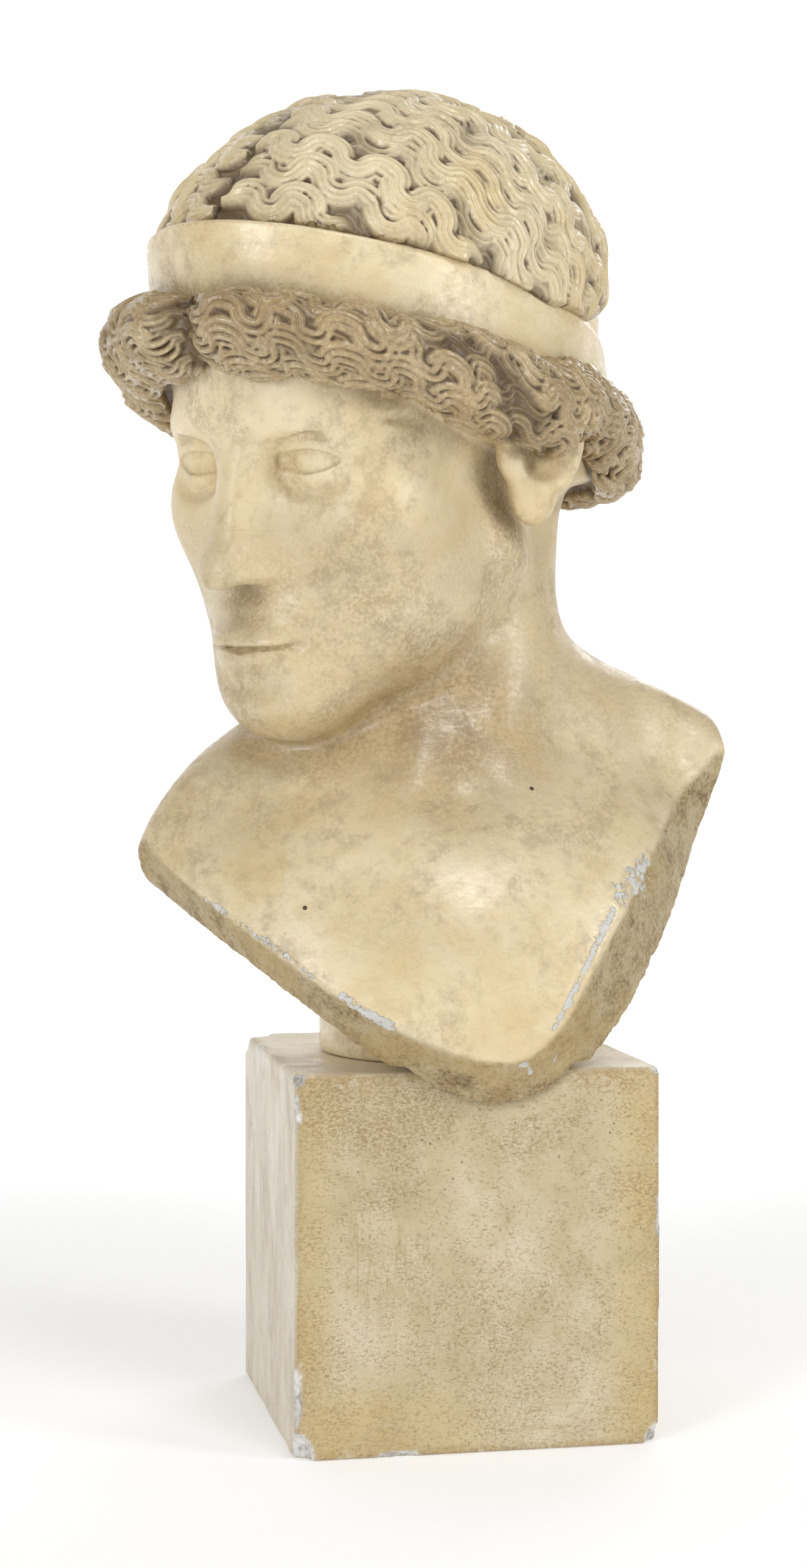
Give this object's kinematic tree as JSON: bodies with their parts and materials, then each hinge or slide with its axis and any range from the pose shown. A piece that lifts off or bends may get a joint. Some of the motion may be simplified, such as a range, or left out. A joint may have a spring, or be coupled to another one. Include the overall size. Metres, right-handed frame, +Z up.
{
  "type": "classical portrait bust on plinth",
  "caption": "Plaster bust of a classical goddess type with waved hair and a plain headband, chest cut to a V, standing on a square plinth.",
  "frame": {"origin": "middle of the plinth's underside, on the surface it stands on", "axes": "+Z up, -Y to the front of the chest and plinth, +X to the viewer's right"},
  "size_m": [0.2925, 0.2512, 0.5993],
  "materials": {
    "bust_plaster": "cream-yellow painted plaster, glossy varnish, grey-brown patina in the recesses",
    "plinth_plaster": "cream-yellow painted plaster, satin, stained and speckled, white chips"
  },
  "bodies": {
    "root": {"bust": "bust_plaster", "plinth": "plinth_plaster"}
  },
  "joints": []
}
